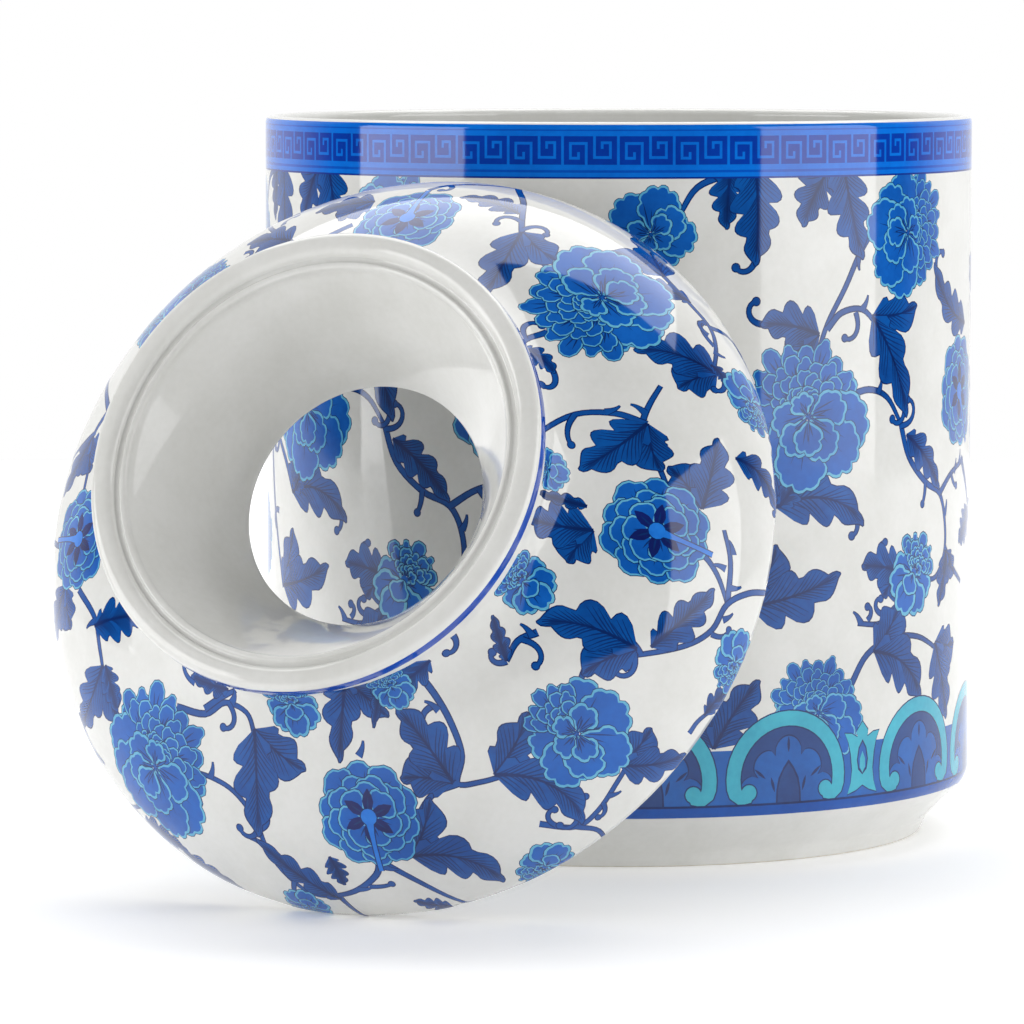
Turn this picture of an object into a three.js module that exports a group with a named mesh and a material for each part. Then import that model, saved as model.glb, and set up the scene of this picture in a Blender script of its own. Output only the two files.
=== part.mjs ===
// A two-piece porcelain set: an open cylindrical jar, and a domed shoulder top with a funnel neck.
// The top is off the jar and leans against its wall, standing on the edge of its base.
// Millimetres, +Z up, -Y to the front. The origin is below the middle of the set, on its standing plane.
import * as THREE from "three";

// Steps around each turned piece. A multiple of four puts an edge at each quarter.
const TURN_STEPS = 60;

// The jar.
const JAR_RADIUS = 80;
const JAR_HEIGHT = 162;
const JAR_WALL = 3;
const RIM_DROP = 1.6;
const FOOT_RADIUS = 69.4;
const FOOT_HEIGHT = 2.7;
const FOOT_FLARE = 1.1;
const FOOT_RING_WIDTH = 6;
const FOOT_EDGE = 0.6;
const FOOT_RECESS = 4;
const BEVEL_PULL = { radius: 70.7, height: 3.5 };
const BEVEL_START = { radius: 71.8, height: 4.5 };
const BEVEL_END = { radius: 77.4, height: 9.8 };
const WALL_START = 15;
const FLOOR_HEIGHT = 8;
const FLOOR_CORNER = 12;

// The top, measured up its own axis from the face that sits on the jar's rim.
const BELLY_RADIUS = 80.4;
const BELLY_HEIGHT = 2;
const SEAT_RADIUS = 78.9;
const DOME_RISE = 48;
const SHOULDER_END = 56;
const NECK_RADIUS = 46.6;
const NECK_HEIGHT = 46.6;
const LIP_RADIUS = 49.2;
const LIP_UNDERSIDE = 53;
const LIP_SHOULDER = 55.6;
const LIP_TOP = 57.5;
const LIP_CREST = 46.5;
const LIP_FLARE = 1;
const LIP_ROUNDING = 1.8;
const GROOVE = { radius: 44.1, height: 55.6 };
const RIDGE = { radius: 42.5, height: 56.1 };
const RIDGE_SLOPE = 0.7;
const FUNNEL_MOUTH = { radius: 41.4, height: 54.5 };
const FUNNEL_PULL = { radius: 31.6, height: 40.4 };
const HOLE_RADIUS = 26.1;
const HOLE_HEIGHT = 28.4;
const FUNNEL_WALL = 3;
const FUNNEL_OUTSIDE_PULL = { radius: 32.5, height: 34.4 };
const SHELL_WALL = 3.6;
const CROTCH = { radius: 36.9, height: 39.4 };
const CROTCH_FILLET = 3;
const RING_RADIUS = 75.2;
const RING_DEPTH = 3;
const RING_WIDTH = 3.2;
const RING_EDGE = 0.6;

// How the top leans: its axis from upright, and its side of the jar, from -Y towards -X.
const LEAN_ANGLE = THREE.MathUtils.degToRad(66);
const LEAN_SIDE = THREE.MathUtils.degToRad(22);
const LEAN_GAP = 0.4;

function glaze(color) {
  return new THREE.MeshStandardMaterial({ color, roughness: 0.08, metalness: 0 });
}

const point = (radius, height) => new THREE.Vector2(radius, height);
const at = (place) => point(place.radius, place.height);
const line = (...corners) => corners;

function arc(x, y, xRadius, yRadius, startDegrees, endDegrees, steps) {
  const start = THREE.MathUtils.degToRad(startDegrees);
  const end = THREE.MathUtils.degToRad(endDegrees);
  const curve = new THREE.EllipseCurve(x, y, xRadius, yRadius, start, end, end < start);
  return curve.getPoints(steps);
}

// The angle along an ellipse's arc, from its widest point, where it is this far from its axis.
function turnAt(radius, widest) {
  return THREE.MathUtils.radToDeg(Math.acos(radius / widest));
}

function bend(from, pull, to, steps) {
  return new THREE.QuadraticBezierCurve(from, pull, to).getPoints(steps);
}

// Joins stretches of outline, leaving out a point that repeats the one before it.
function outline(...stretches) {
  const joined = [];
  for (const next of stretches.flat()) {
    const last = joined[joined.length - 1];
    if (!last || last.distanceTo(next) > 1e-3) {
      joined.push(next);
    }
  }
  return joined;
}

function turned(profile) {
  const geometry = new THREE.LatheGeometry(profile, TURN_STEPS);
  geometry.rotateX(Math.PI / 2);
  return geometry;
}

// From the middle of the underside, out round the foot, up the wall, over the rim and down inside.
function jarProfile() {
  const footTop = FOOT_RADIUS + FOOT_FLARE;
  const footInside = FOOT_RADIUS - FOOT_RING_WIDTH;
  const inside = JAR_RADIUS - JAR_WALL;
  const rimMiddle = JAR_RADIUS - JAR_WALL / 2;
  const rimStart = JAR_HEIGHT - RIM_DROP;
  return outline(
    line(point(0, FOOT_RECESS), point(footInside - FOOT_EDGE, FOOT_RECESS)),
    line(point(footInside, FOOT_RECESS - FOOT_EDGE), point(footInside, FOOT_EDGE)),
    line(point(footInside + FOOT_EDGE, 0), point(FOOT_RADIUS - FOOT_EDGE, 0)),
    line(point(FOOT_RADIUS, FOOT_EDGE)),
    bend(
      point(footTop, FOOT_HEIGHT),
      at(BEVEL_PULL),
      at(BEVEL_START),
      2,
    ),
    bend(
      at(BEVEL_END),
      point(JAR_RADIUS, BEVEL_END.height + JAR_RADIUS - BEVEL_END.radius),
      point(JAR_RADIUS, WALL_START),
      4,
    ),
    arc(rimMiddle, rimStart, JAR_WALL / 2, RIM_DROP, 0, 180, 5),
    arc(inside - FLOOR_CORNER, FLOOR_HEIGHT + FLOOR_CORNER, FLOOR_CORNER, FLOOR_CORNER, 0, -90, 5),
    line(point(0, FLOOR_HEIGHT)),
  );
}

// From the lip's crest down the inside of the funnel, up under the shell, round the base and back up
// the outside. It closes on itself, because the funnel's hole goes right through.
function topProfile() {
  const ringInside = RING_RADIUS - RING_WIDTH;
  const shellRadius = BELLY_RADIUS - SHELL_WALL;
  const shellRise = DOME_RISE - SHELL_WALL;
  const shoulderTurn = turnAt(SHOULDER_END, BELLY_RADIUS);
  const shoulderTop = BELLY_HEIGHT + DOME_RISE * Math.sqrt(1 - (SHOULDER_END / BELLY_RADIUS) ** 2);
  const shoulderSlope = (DOME_RISE / BELLY_RADIUS) ** 2 * (SHOULDER_END / (shoulderTop - BELLY_HEIGHT));
  const crotchTurn = turnAt(CROTCH.radius + CROTCH_FILLET, shellRadius);
  return outline(
    bend(point(LIP_CREST, LIP_TOP), point(LIP_CREST - LIP_ROUNDING, LIP_TOP), at(GROOVE), 3),
    line(point(RIDGE.radius + RIDGE_SLOPE, GROOVE.height), at(RIDGE)),
    bend(at(FUNNEL_MOUTH), at(FUNNEL_PULL), point(HOLE_RADIUS, HOLE_HEIGHT), 8),
    arc(HOLE_RADIUS + FUNNEL_WALL / 2, HOLE_HEIGHT, FUNNEL_WALL / 2, FUNNEL_WALL / 2, -180, 0, 3),
    bend(point(HOLE_RADIUS + FUNNEL_WALL, HOLE_HEIGHT), at(FUNNEL_OUTSIDE_PULL), at(CROTCH), 4),
    arc(0, BELLY_HEIGHT, shellRadius, shellRise, crotchTurn, 0, 9),
    line(point(ringInside, -RING_EDGE), point(ringInside, RING_EDGE - RING_DEPTH)),
    line(point(ringInside + RING_EDGE, -RING_DEPTH), point(RING_RADIUS - RING_EDGE, -RING_DEPTH)),
    line(point(RING_RADIUS, RING_EDGE - RING_DEPTH), point(RING_RADIUS, 0)),
    arc(SEAT_RADIUS, BELLY_HEIGHT, BELLY_RADIUS - SEAT_RADIUS, BELLY_HEIGHT, -90, 0, 4),
    arc(0, BELLY_HEIGHT, BELLY_RADIUS, DOME_RISE, 0, shoulderTurn, 11),
    bend(
      point(SHOULDER_END, shoulderTop),
      point(NECK_RADIUS, shoulderTop + shoulderSlope * (SHOULDER_END - NECK_RADIUS)),
      point(NECK_RADIUS, NECK_HEIGHT),
      5,
    ),
    bend(
      point(NECK_RADIUS, NECK_HEIGHT),
      point(NECK_RADIUS, LIP_UNDERSIDE - LIP_FLARE),
      point(LIP_RADIUS, LIP_UNDERSIDE),
      4,
    ),
    bend(point(LIP_RADIUS, LIP_SHOULDER), point(LIP_RADIUS, LIP_TOP), point(LIP_CREST, LIP_TOP), 3),
  );
}

function makeJar() {
  const jar = new THREE.Mesh(turned(jarProfile()), glaze(0xe9eaec));
  jar.name = "jar";
  return jar;
}

// The top stands on the lowest point of its base edge, and its locating ring meets the jar's wall.
function makeLeaningTop() {
  const profile = topProfile();
  const top = new THREE.Mesh(turned(profile), glaze(0xeeeeec));
  top.name = "shoulder_top";
  const sine = Math.sin(LEAN_ANGLE);
  const cosine = Math.cos(LEAN_ANGLE);
  const below = Math.max(...profile.map((p) => p.x * sine - p.y * cosine));
  const behind = Math.max(...profile.map((p) => p.x * cosine - p.y * sine));
  top.rotation.x = LEAN_ANGLE;
  top.position.set(0, -(JAR_RADIUS + LEAN_GAP + behind), below);
  const side = new THREE.Group();
  side.rotation.z = -LEAN_SIDE;
  side.add(top);
  return side;
}

const pieces = new THREE.Group();
pieces.add(makeJar(), makeLeaningTop());

const middle = new THREE.Box3().setFromObject(pieces, true).getCenter(new THREE.Vector3());
pieces.position.set(-middle.x, -middle.y, 0);

const model = new THREE.Group();
model.add(pieces);

export default model;
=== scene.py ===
"""The looks of a blue-and-white porcelain jar and of the funnel top that leans on it.

Each piece is one closed turned mesh. Its ornament is laid into the glaze: the flat layout of stems, leaves
and flowers is triangulated together with the surface, so each motif is a set of faces with its own finish.
Outlines and ornament are in millimetres. Blender objects are in metres.
"""
import math

import bpy
import numpy as np
from mathutils import Matrix, Vector
from mathutils.geometry import delaunay_2d_cdt


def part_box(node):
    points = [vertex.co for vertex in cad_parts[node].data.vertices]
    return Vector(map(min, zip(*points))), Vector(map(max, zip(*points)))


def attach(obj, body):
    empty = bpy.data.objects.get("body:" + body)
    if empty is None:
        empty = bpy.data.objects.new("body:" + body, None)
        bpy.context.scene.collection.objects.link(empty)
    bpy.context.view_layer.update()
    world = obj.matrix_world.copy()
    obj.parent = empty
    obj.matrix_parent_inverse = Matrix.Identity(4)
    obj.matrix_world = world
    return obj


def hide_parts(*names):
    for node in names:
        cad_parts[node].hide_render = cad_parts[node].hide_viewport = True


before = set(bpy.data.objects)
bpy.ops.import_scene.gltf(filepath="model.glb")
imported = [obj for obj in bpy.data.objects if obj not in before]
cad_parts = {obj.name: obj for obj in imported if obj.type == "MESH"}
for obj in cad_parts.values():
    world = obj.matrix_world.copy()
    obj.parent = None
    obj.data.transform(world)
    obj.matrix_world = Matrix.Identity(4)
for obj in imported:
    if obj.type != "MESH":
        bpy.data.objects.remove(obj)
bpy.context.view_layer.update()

MM = 0.001

# The jar.
JAR_RADIUS = 80
JAR_HEIGHT = 162
JAR_WALL = 3
RIM_DROP = 1.6
FOOT_RADIUS = 69.4
FOOT_HEIGHT = 2.7
FOOT_FLARE = 1.1
FOOT_RING_WIDTH = 6
FOOT_EDGE = 0.6
FOOT_RECESS = 4
BEVEL_PULL = (70.7, 3.5)
BEVEL_START = (71.8, 4.5)
BEVEL_MIDDLE = (74.4, 6.9)
BEVEL_END = (77.4, 9.8)
WALL_START = 15
FLOOR_HEIGHT = 8
FLOOR_CORNER = 12

# The top, measured up its own axis from the face that sits on the jar's rim.
BELLY_RADIUS = 80.4
BELLY_HEIGHT = 2
SEAT_RADIUS = 78.9
DOME_RISE = 48
SHOULDER_END = 56
NECK_RADIUS = 46.6
NECK_HEIGHT = 46.6
LIP_RADIUS = 49.2
LIP_UNDERSIDE = 53
LIP_SHOULDER = 55.6
LIP_TOP = 57.5
LIP_CREST = 46.5
LIP_FLARE = 1
LIP_ROUNDING = 1.8
GROOVE = (44.1, 55.6)
RIDGE = (42.5, 56.1)
RIDGE_SLOPE = 0.7
FUNNEL_MOUTH = (41.4, 54.5)
FUNNEL_PULL = (31.6, 40.4)
HOLE_RADIUS = 26.1
HOLE_HEIGHT = 28.4
FUNNEL_WALL = 3
FUNNEL_OUTSIDE_PULL = (32.5, 34.4)
SHELL_WALL = 3.6
CROTCH = (36.9, 39.4)
CROTCH_FILLET = 3
RING_RADIUS = 75.2
RING_DEPTH = 3
RING_WIDTH = 3.2
RING_EDGE = 0.6
LEAN_ANGLE = math.radians(66)
LEAN_SIDE = math.radians(22)

# Each ornamented surface has a flat chart. Its x is the turn round the axis, its y the way along the outline.
# Chart places are multiples of one grain, so that lines which meet on paper meet exactly.
HALF_TURN = 256
TURN_STEPS = 128
GRAIN = 1 / 1024
DOME_RING_STEP = 2.4
CHART_LOW = 11.25
BEVEL_ROWS = (12.5, 13.75)
RIM_BLUE_STEPS = 4

# The ornament's heights on the jar.
STRIPE_LOW = 12.0
STRIPE_TOP = 14.2
FOOT_BAND_LOW = 14.7
FOOT_BAND_TOP = 26.5
KEY_BAND_LOW = 149.9
FIELD_REPEATS = 4
ARCH_PAIRS = 7
FRET_PAIRS = 42


# ---------------- outlines

def line(*corners):
    return [np.array(c, float) for c in corners]


def arc(x, y, x_radius, y_radius, start, end, steps):
    angles = np.radians(np.linspace(start, end, steps + 1))
    return [np.array((x + x_radius * math.cos(a), y + y_radius * math.sin(a))) for a in angles]


def bend(start, pull, end, steps):
    a, b, c = (np.array(p, float) for p in (start, pull, end))
    return [a * (1 - t) ** 2 + 2 * b * t * (1 - t) + c * t * t for t in np.linspace(0, 1, steps + 1)]


def outline(*stretches):
    """Joins stretches, leaving out a point that repeats the one before it."""
    joined = []
    for point in (p for stretch in stretches for p in stretch):
        if not joined or np.linalg.norm(point - joined[-1]) > 1e-3:
            joined.append(point)
    return np.array(joined)


def outward(points):
    """The way out of the piece at each point of an outline that is walked with the piece on its left."""
    along = np.gradient(points, axis=0)
    facing = np.stack((along[:, 1], -along[:, 0]), 1)
    return facing / np.linalg.norm(facing, axis=1)[:, None]


def turn_at(radius, widest):
    return math.degrees(math.acos(radius / widest))


# ---------------- ornament, drawn flat in millimetres
# A motif is a list of (finish, points). Later shapes lie over earlier ones.

def placed(shapes, x, y, turn=0.0, size=1.0):
    a = math.radians(turn)
    spin = np.array(((math.cos(a), math.sin(a)), (-math.sin(a), math.cos(a)))) * size
    return [(finish, points @ spin + (x, y)) for finish, points in shapes]


def round_spot(finish, x, y, radius, steps=12):
    a = np.linspace(0, 2 * math.pi, steps, endpoint=False)
    return (finish, np.stack((x + radius * np.cos(a), y + radius * np.sin(a)), 1))


def smooth_path(points, steps=5):
    """A curve through the points."""
    p = np.array(points, float)
    p = np.vstack((2 * p[0] - p[1], p, 2 * p[-1] - p[-2]))
    t = np.linspace(0, 1, steps, endpoint=False)[:, None]
    runs = []
    for a, b, c, d in zip(p, p[1:], p[2:], p[3:]):
        runs.append(0.5 * (2 * b + (c - a) * t + (2 * a - 5 * b + 4 * c - d) * t ** 2
                           + (3 * b - a - 3 * c + d) * t ** 3))
    return np.vstack(runs + [p[-2:-1]])


def ribbon(finish, path, half_width):
    along = np.gradient(path, axis=0)
    side = np.stack((-along[:, 1], along[:, 0]), 1)
    side /= np.linalg.norm(side, axis=1)[:, None] + 1e-9
    reach = side * np.broadcast_to(half_width, len(path))[:, None]
    return (finish, np.vstack((path + reach, (path - reach)[::-1])))


def lens(finish, start, end, width):
    return ribbon(finish, np.linspace(start, end, 5), width / 2 * np.array((0.08, 0.75, 1, 0.75, 0.08)))


INK_LINE = 0.26
PETAL_LINE = 0.2
STEM_WIDTH = 1.25
STEM_END = 1 - 0.45
SPUR_LENGTH = 3.6
SPUR_TURN = 40.0


def stem(points):
    """A stem, thick where it starts and thinner where it ends."""
    path = smooth_path(points)
    half = STEM_WIDTH / 2 * np.linspace(1, STEM_END, len(path))
    return [ribbon("ink", path, half + INK_LINE), ribbon("stem", path, half)]


def curl_path(heading, length, turn, steps=13):
    """A path from the origin that winds tighter as it goes, by turn degrees in all."""
    t = np.linspace(0, 1, steps)
    angle = np.radians(heading + turn * t ** 1.6)
    step = length / (steps - 1)
    ahead = np.stack((np.cos(angle), np.sin(angle)), 1) * step
    return np.vstack(((0, 0), np.cumsum(ahead[:-1], axis=0)))


def tendril(x, y, heading, length, turn, width=0.9):
    """A tapering curl that ends in a knob."""
    path = curl_path(heading, length, turn) + (x, y)
    half = width / 2 * np.linspace(1.15, 0.7, len(path))
    knob = width * 0.82
    return [
        ribbon("ink", path, half + INK_LINE),
        round_spot("ink", *path[-1], knob + INK_LINE),
        ribbon("stem", path, half),
        round_spot("stem", *path[-1], knob),
    ]


def spur(x, y, heading):
    path = curl_path(heading, SPUR_LENGTH, SPUR_TURN, 6) + (x, y)
    half = np.linspace(0.75, 0.08, len(path))
    return [ribbon("ink", path, half + 0.2), ribbon("stem", path, half)]


def leaf_side(middle, ahead, side, width, lobes, sign, grow):
    u = np.linspace(0, 1, len(middle))
    swell = np.sin(math.pi * u ** 0.6) ** 0.7 * (1 - 0.3 * u)
    phase = 0.12 if sign > 0 else 0.4
    ripple = 0.38 + 0.62 * np.abs(np.sin(math.pi * (lobes * u ** 0.9 + phase))) ** 0.6
    reach = width * swell * ripple + grow
    return middle + side * (sign * reach)[:, None] + ahead * (0.5 * reach)[:, None]


def leaf(length, width, turn, lobes, curl=None):
    """A lobed leaf from the origin, heading up, whose rib turns by turn degrees to the right."""
    steps = 6 * lobes + 2
    u = np.linspace(0, 1, steps)
    heading = np.radians(90 - turn * u ** 1.3)
    ahead = np.stack((np.cos(heading), np.sin(heading)), 1)
    side = np.stack((ahead[:, 1], -ahead[:, 0]), 1)
    middle = np.vstack(((0, 0), np.cumsum((ahead * length / (steps - 1))[:-1], axis=0)))
    shapes = []
    if curl:
        tip = middle[-4]
        shapes += tendril(*tip, 90 - turn, length=abs(curl) / 20, turn=curl, width=1.0)
    for finish, grow in (("ink", INK_LINE), ("leaf", 0.0)):
        right = leaf_side(middle, ahead, side, width, lobes, 1, grow)
        left = leaf_side(middle, ahead, side, width * 0.85, lobes, -1, grow)
        shapes.append((finish, np.vstack((right, left[::-1]))))
    rays = 5 * lobes
    for sign in (1, -1):
        edge = leaf_side(middle, ahead, side, width * 0.8, lobes, sign, 0.0)
        for k in range(rays):
            root = int((k / rays * 0.86 + 0.02) * (steps - 1))
            end = min(steps - 1, root + 3)
            pull = middle[root] + ahead[root] * 1.6 + side[root] * sign * 0.4
            shapes.append(ribbon("vein", np.array(bend(middle[root], pull, edge[end], 3)),
                                 np.array((0.16, 0.17, 0.14, 0.04))))
    shapes.append(ribbon("ink", middle[::2], np.linspace(0.42, 0.1, len(middle[::2]))))
    return shapes


def sprig(length, turn, curl, width):
    """A long leaf with a shorter, broader leaf beside it."""
    small = placed(leaf(length * 0.62, width * 0.95, -26, 2), 0, 0, 46)
    return small + leaf(length, width, turn, 3, curl)


def petal_edge(length, width, lobes, grow, scallop):
    """A petal's outline. Its scallops differ a little in depth, so that no two petals' edges look stamped."""
    outer = np.linspace(-2.25, 2.25, 4 * lobes + 1)
    base = np.array((2.6, 3.0, 3.28, 3.68))
    a = np.concatenate((outer, base))
    taper = np.where(np.cos(a) > 0, 1.0, 1 - 0.38 * np.cos(a) ** 2)
    x = width / 2 * np.sin(a) * taper
    y = np.where(np.cos(a) > 0, 0.44, 0.56) * length * np.cos(a)
    wave = np.abs(np.sin(math.pi * lobes * (a + 2.25) / 4.5)) ** 0.6
    uneven = 1 + 0.45 * np.sin(3.1 * a + length + 2 * width)
    frill = np.where(a <= 2.25, scallop * uneven * (wave - 1), -scallop)
    reach = np.hypot(x, y) + 1e-9
    scale = np.maximum(1 + (grow + frill) / reach, 0.08)
    return np.stack((x * scale, y * scale + 0.56 * length), 1)


def petal(length, width, lobes, rim, veins, scallop):
    """A scalloped petal that stands on the origin, with a dark line and a pale rim round it."""
    shapes = [
        ("ink", petal_edge(length, width, lobes, PETAL_LINE, scallop)),
        ("pale", petal_edge(length, width, lobes, 0.0, scallop)),
        ("petal", petal_edge(length, width, lobes, -rim, scallop * 0.9)),
    ]
    for k in range(veins):
        a = math.radians(90 + (k - (veins - 1) / 2) * 15)
        ray = np.array((math.cos(a), math.sin(a)))
        far = 0.58 + 0.14 * math.sin(5 * k + length)
        shapes.append(lens("vein", ray * length * 0.1, ray * length * far, 0.36))
    return shapes


def ring_of_petals(count, reach, length, width, lobes, start, veins):
    """Petals round the origin, whose tips lie at about reach."""
    shapes = []
    for k in range(count):
        angle = start + 360.0 * (k / count)
        root = np.radians(angle + 90)
        tip = reach * (1 + 0.045 * math.sin(2.4 * k + reach))
        back = tip - length
        blade = petal(length, width, lobes, 0.45, veins=veins, scallop=0.55)
        shapes += placed(blade, back * math.cos(root), back * math.sin(root), angle)
    return shapes


def star_flower(stem_heading):
    """A round flower 25 mm across seen from behind, with its dark star and its stem lying over it."""
    shapes = ring_of_petals(10, 12.5, 7.5, 8.6, 3, 8, veins=3)
    shapes += ring_of_petals(9, 10.1, 7.0, 7.8, 3, 27, veins=2)
    shapes += ring_of_petals(7, 7.7, 6.6, 7.6, 3, 3, veins=2)
    for k in range(6):
        a = math.radians(60 * k + 28)
        ray = np.array((math.cos(a), math.sin(a)))
        shapes.append(lens("star", ray * 0.6, ray * 6.4, 2.7))
        shapes.append(lens("vein", ray * 1.5, ray * 4.6, 0.4))
    a = math.radians(stem_heading)
    ray = np.array((math.cos(a), math.sin(a)))
    path = np.linspace((0, 0), ray * 13.5, 8)
    half = np.array((1.0, 0.85, 0.6, 0.5, 0.5, 0.5, 0.52, 0.55))
    shapes += [
        ribbon("ink", path, half + INK_LINE),
        round_spot("ink", 0, 0, 1.9 + INK_LINE),
        ribbon("knob", path, half),
        round_spot("knob", 0, 0, 1.9),
    ]
    return shapes


def heart_of_flower():
    """The lens-shaped dark marks where the front petals meet."""
    marks = [round_spot("petal", 0, 0, 0.9)]
    for heading, length in ((60, 5.0), (118, 4.6), (8, 5.6), (-32, 6.2), (-150, 5.2), (-98, 6.4)):
        a = math.radians(heading)
        ray = np.array((math.cos(a), math.sin(a)))
        marks.append(lens("ink", ray * 0.2, ray * length, 0.95))
        marks.append(lens("petal", ray * 0.8, ray * (length - 0.6), 0.4))
    return marks


def crown(columns, reach, width, spread):
    """A dense fan of narrow frilled petals, standing in columns, the front ones lowest."""
    shapes = []
    for back in range(4):
        size = 1 - 0.2 * back
        for k in range(columns):
            side = 2 * k / (columns - 1) - 1
            angle = -spread * side * (1 - 0.06 * back)
            root = math.radians(angle + 90)
            tip = reach * size * (1 + 0.07 * math.sin(4.1 * k + 2.3 * back))
            length = 0.44 * reach * size + 1.2
            blade = petal(length, width * (0.72 + 0.3 * size), 2 + (k + back) % 2, 0.32, veins=2, scallop=0.5)
            shapes += placed(blade, (tip - length) * math.cos(root), (tip - length) * math.sin(root), angle)
    return shapes


def petals_at(*layout, scallop=0.85):
    """Broad petals from near the origin, each given as turn, length, width, scallops and veins."""
    shapes = []
    for turn, length, width, lobes, veins in layout:
        shapes += placed(petal(length, width, lobes, 0.62, veins=veins, scallop=scallop), 0, 0, turn)
    return shapes


def peony():
    """A peony 33 mm across, its dense crown up and its broad petals spread below."""
    shapes = placed(petals_at((84, 15, 12, 6, 3), (-80, 15, 12, 6, 3), (106, 16.5, 13, 7, 4)), 0, 1.5)
    shapes += placed(crown(8, 16.5, 4.6, 62), -1.0, 0.5)
    shapes += petals_at((-104, 17.5, 14.5, 7, 5), (134, 15.5, 13, 7, 4), (-136, 17, 14, 8, 5),
                        (166, 16.5, 14, 7, 5))
    shapes += placed(petals_at((98, 9.5, 8.5, 5, 3), (-88, 10.5, 9, 5, 3), scallop=0.7), 0.3, 0.8)
    shapes += petals_at((142, 9.5, 8.5, 5, 3), (-150, 11, 10, 6, 4), (178, 8.5, 8, 5, 3),
                        (20, 6, 6.5, 4, 3), scallop=0.7)
    return shapes + placed(heart_of_flower(), 0.3, 0.2, 0, 0.85)


def mallow():
    """An open flower 26 mm across: five broad petals, a small inner cup, and frilled petals at its top."""
    shapes = petals_at((64, 11, 10, 6, 3), (-54, 12.5, 11.5, 6, 4), (116, 13, 12, 7, 4))
    shapes += crown(5, 12, 3.6, 34)
    shapes += petals_at((-104, 13.5, 13, 7, 5), (-166, 14, 12.5, 7, 5), (152, 11, 10, 5, 3))
    shapes += petals_at((96, 6.6, 6.2, 4, 2), (-70, 7.2, 6.8, 4, 3), (164, 7, 6.5, 4, 3),
                        (18, 5.6, 5.4, 4, 2), scallop=0.6)
    return shapes + placed(heart_of_flower(), 0, 0, 20, 0.74)


def small_flower():
    """A half-open flower 14 mm across."""
    shapes = petals_at((92, 6.4, 5.6, 4, 2), (-90, 6.6, 5.8, 4, 2), scallop=0.5)
    shapes += placed(crown(5, 7.6, 3.0, 52), 0, 0.2)
    shapes += petals_at((134, 7.4, 6.2, 4, 3), (-138, 7.6, 6.6, 4, 3), (178, 8, 6.4, 4, 3), scallop=0.55)
    shapes.append(round_spot("petal", 0, 0.3, 0.8))
    return shapes + placed(petal(4.6, 4.8, 3, 0.4, veins=2, scallop=0.4), 0, 0.6, 178)


def leaf_at(x, y, heading, length, turn, curl, width, pair):
    """A leaf that grows from (x, y) along heading, with a smaller one beside it if it's a pair."""
    shapes = sprig(length, turn, curl, width) if pair else leaf(length, width, turn, 4, curl)
    return placed(shapes, x, y, heading - 90)


def vine(stems, tendrils, spurs, leaves):
    """Stems are paths. The others start with x, y and a heading in degrees from the layout's x axis."""
    grown = []
    for draw, layout in ((tendril, tendrils), (spur, spurs), (leaf_at, leaves)):
        for values in layout:
            grown += draw(*values)
    return [shape for points in stems for shape in stem(points)] + grown


# ---------------- the jar's ornament, seen unrolled from outside

FIELD_STEMS = (
    ((24, 151), (17, 148), (13, 142)),
    ((66, 143), (61, 138), (57, 133), (53, 126), (48, 118), (45, 110)),
    ((48, 117), (52, 120.5), (58, 121), (63, 117)),
    ((53, 102), (60, 103.5), (66, 101.5), (70.5, 96)),
    ((70.5, 96.5), (74, 88), (81, 82), (88, 79), (91, 73), (91, 66), (86, 60.5), (79, 61)),
    ((88, 79), (95, 83), (105, 85.5)),
    ((91, 67), (96, 62), (103, 58)),
    ((71, 56), (68, 54.5), (64, 52), (57, 52.5)),
    ((55, 39), (60, 45.5), (68, 48.5), (78, 48), (88, 44)),
    ((36, 79), (30, 87), (19, 97), (9, 103), (-3, 110), (-12, 122)),
    ((19, 97), (22, 76), (29, 57)),
    ((103, 86), (111, 76), (117, 62), (118, 48)),
    ((118, 48), (126, 41), (134, 38)),
)
FIELD_TENDRILS = (
    (56, 120.5, -70, 8.5, -150), (71, 95, 5, 10, 190), (81, 82, -95, 5, -30), (65, 54, 165, 6, -200),
    (60, 53, 40, 4, 150), (66, 65, 150, 7, -170), (9, 103, 200, 7, -190), (25, 92, -60, 7, -180),
    (112, 75, 20, 7, -180), (26, 74, 170, 7, 190), (4, 106, -80, 7, -190), (118, 55, 190, 7, 200),
    (95, 83, -60, 5, 60), (24, 32, 190, 8, -160),
)
FIELD_SPURS = (
    (58, 121, 50), (63, 102.5, 60), (91, 74, 60), (60, 139, 95), (90.5, 65, -20), (9, 103, 120),
    (97, 83, 50), (57, 133, -100), (101, 84.5, 60), (58, 52.5, 120), (70, 48.3, 20),
)
FIELD_LEAVES = (
    (24.5, 153, -96, 14, -5, None, 4.6, False),
    (30, 154, -84, 23, 14, -150, 7.2, False),
    (50, 154, -128, 17, -20, None, 6.4, False),
    (52, 154, -78, 23, -8, None, 7.0, False),
    (46, 116, 160, 15, -25, -190, 6.0, True),
    (61, 119.5, -50, 26, 30, -170, 6.8, True),
    (73, 93, -30, 20, 28, None, 4.8, False),
    (35, 79, 18, 26, 75, -120, 7.2, True),
    (36, 79, 48, 9, -10, None, 3.6, False),
    (29, 57.5, 8, 24, -18, None, 7.4, True),
    (71, 63, 165, 13, -15, None, 6.0, True),
    (92, 66, -100, 13, 25, None, 4.2, True),
    (62, 46, -8, 22, 66, None, 7.6, True),
    (86, 46, -62, 19, 20, None, 7.2, True),
    (21, 27, 62, 18, 20, None, 6.4, True),
    (106, 116, 172, 27, 62, -160, 5.8, False),
    (9, 103, 110, 13, -25, 150, 5.2, True),
    (5, 106, 210, 15, 20, -160, 5.8, True),
    (118, 60, 20, 15, 20, None, 5.6, True),
    (112, 74, -140, 13, 20, None, 5.4, False),
    (119, 122, 70, 17, -20, 160, 6.0, True),
    (0, 42, 130, 15, 25, -170, 5.8, True),
)


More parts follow.
